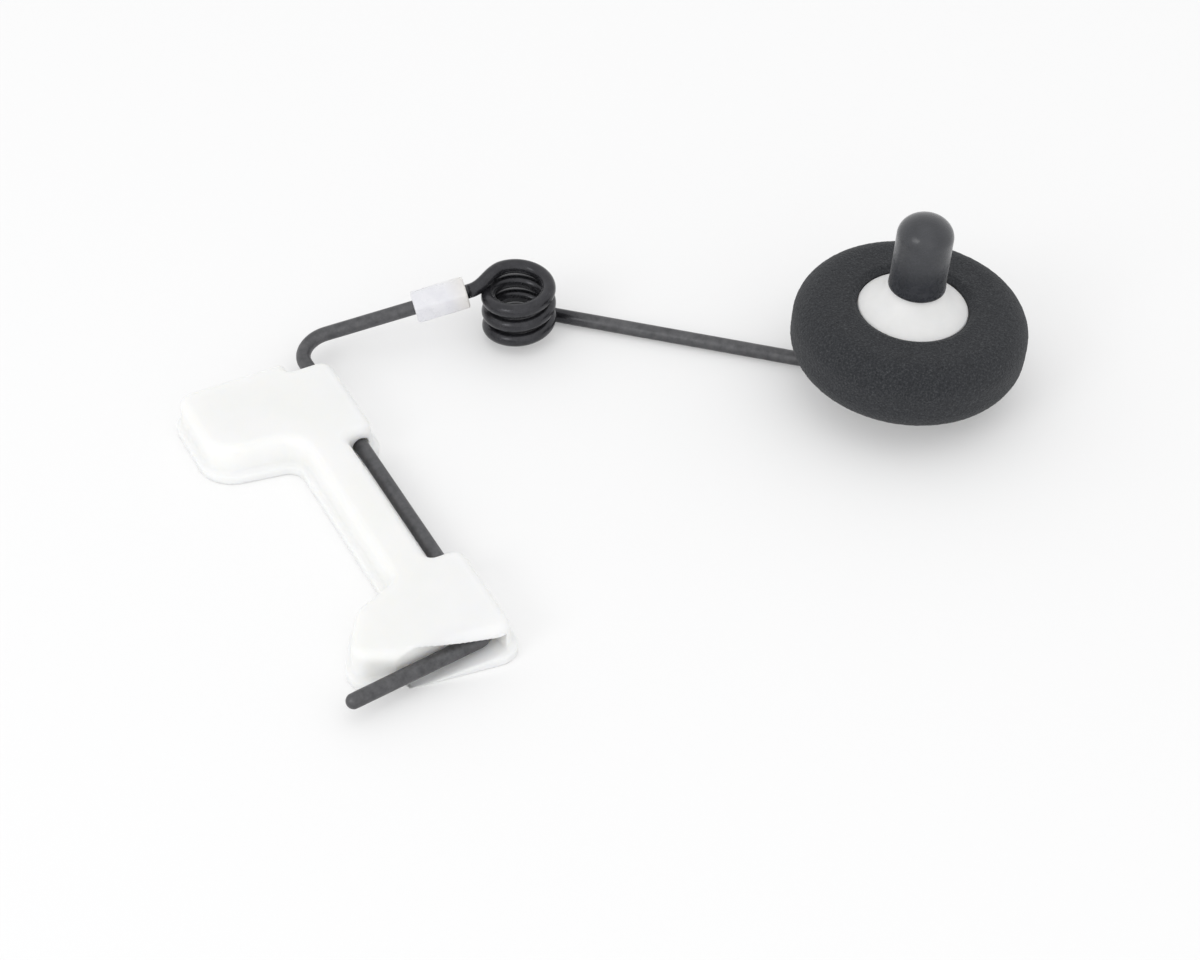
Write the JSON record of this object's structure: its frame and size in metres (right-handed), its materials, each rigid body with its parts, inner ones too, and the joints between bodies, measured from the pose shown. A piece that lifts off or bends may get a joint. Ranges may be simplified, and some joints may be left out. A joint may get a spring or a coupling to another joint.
{
  "type": "tailwheel assembly",
  "caption": "Model aircraft tailwheel: a moulded pivot bracket, a bent spring wire with a torsion coil, a foam-tyred wheel and a push-on axle cap.",
  "frame": {"origin": "on the bracket's flat mounting face, at the middle of the web between the lobes", "axes": "+Y along the pivot towards the arm, +X towards the wheel, +Z away from the mounting face"},
  "size_m": [0.0862, 0.0527, 0.0224],
  "materials": {
    "white_moulding": "satin moulded nylon",
    "spring_wire": "dark oxide, satin",
    "sleeve_plastic": "milky, slightly translucent",
    "hub_plastic": "satin moulded nylon",
    "foam": "fine closed-cell foam, matt",
    "cap_rubber": "smooth rubber"
  },
  "bodies": {
    "bracket": {"mount_bracket": "white_moulding"},
    "steering": {"steering_wire": "spring_wire", "arm_sleeve": "sleeve_plastic", "coil_spring": "spring_wire"},
    "strut": {"wheel_strut": "spring_wire", "axle_cap": "cap_rubber"},
    "wheel": {"hub_outer": "hub_plastic", "hub_inner": "hub_plastic", "foam_tyre": "foam"}
  },
  "joints": [
    {"name": "steering_swivel", "type": "hinge", "parent": "bracket", "child": "steering", "pos_m": [0.00375, 0, 0.00225], "axis": [0, 1, 0], "range_deg": [-8, 8]},
    {"name": "strut_flex", "type": "hinge", "parent": "steering", "child": "strut", "pos_m": [0.02791, 0.02188, 0.0008], "axis": [0, 0, 1], "range_deg": [-15, 15], "stiffness_Nm_per_rad": 0.98, "deforming": ["coil_spring"]},
    {"name": "wheel_spin", "type": "hinge", "parent": "strut", "child": "wheel", "pos_m": [0.06137, -0.00525, 0.00729], "axis": [0.038, -0.036, 0.9986], "continuous": true}
  ]
}
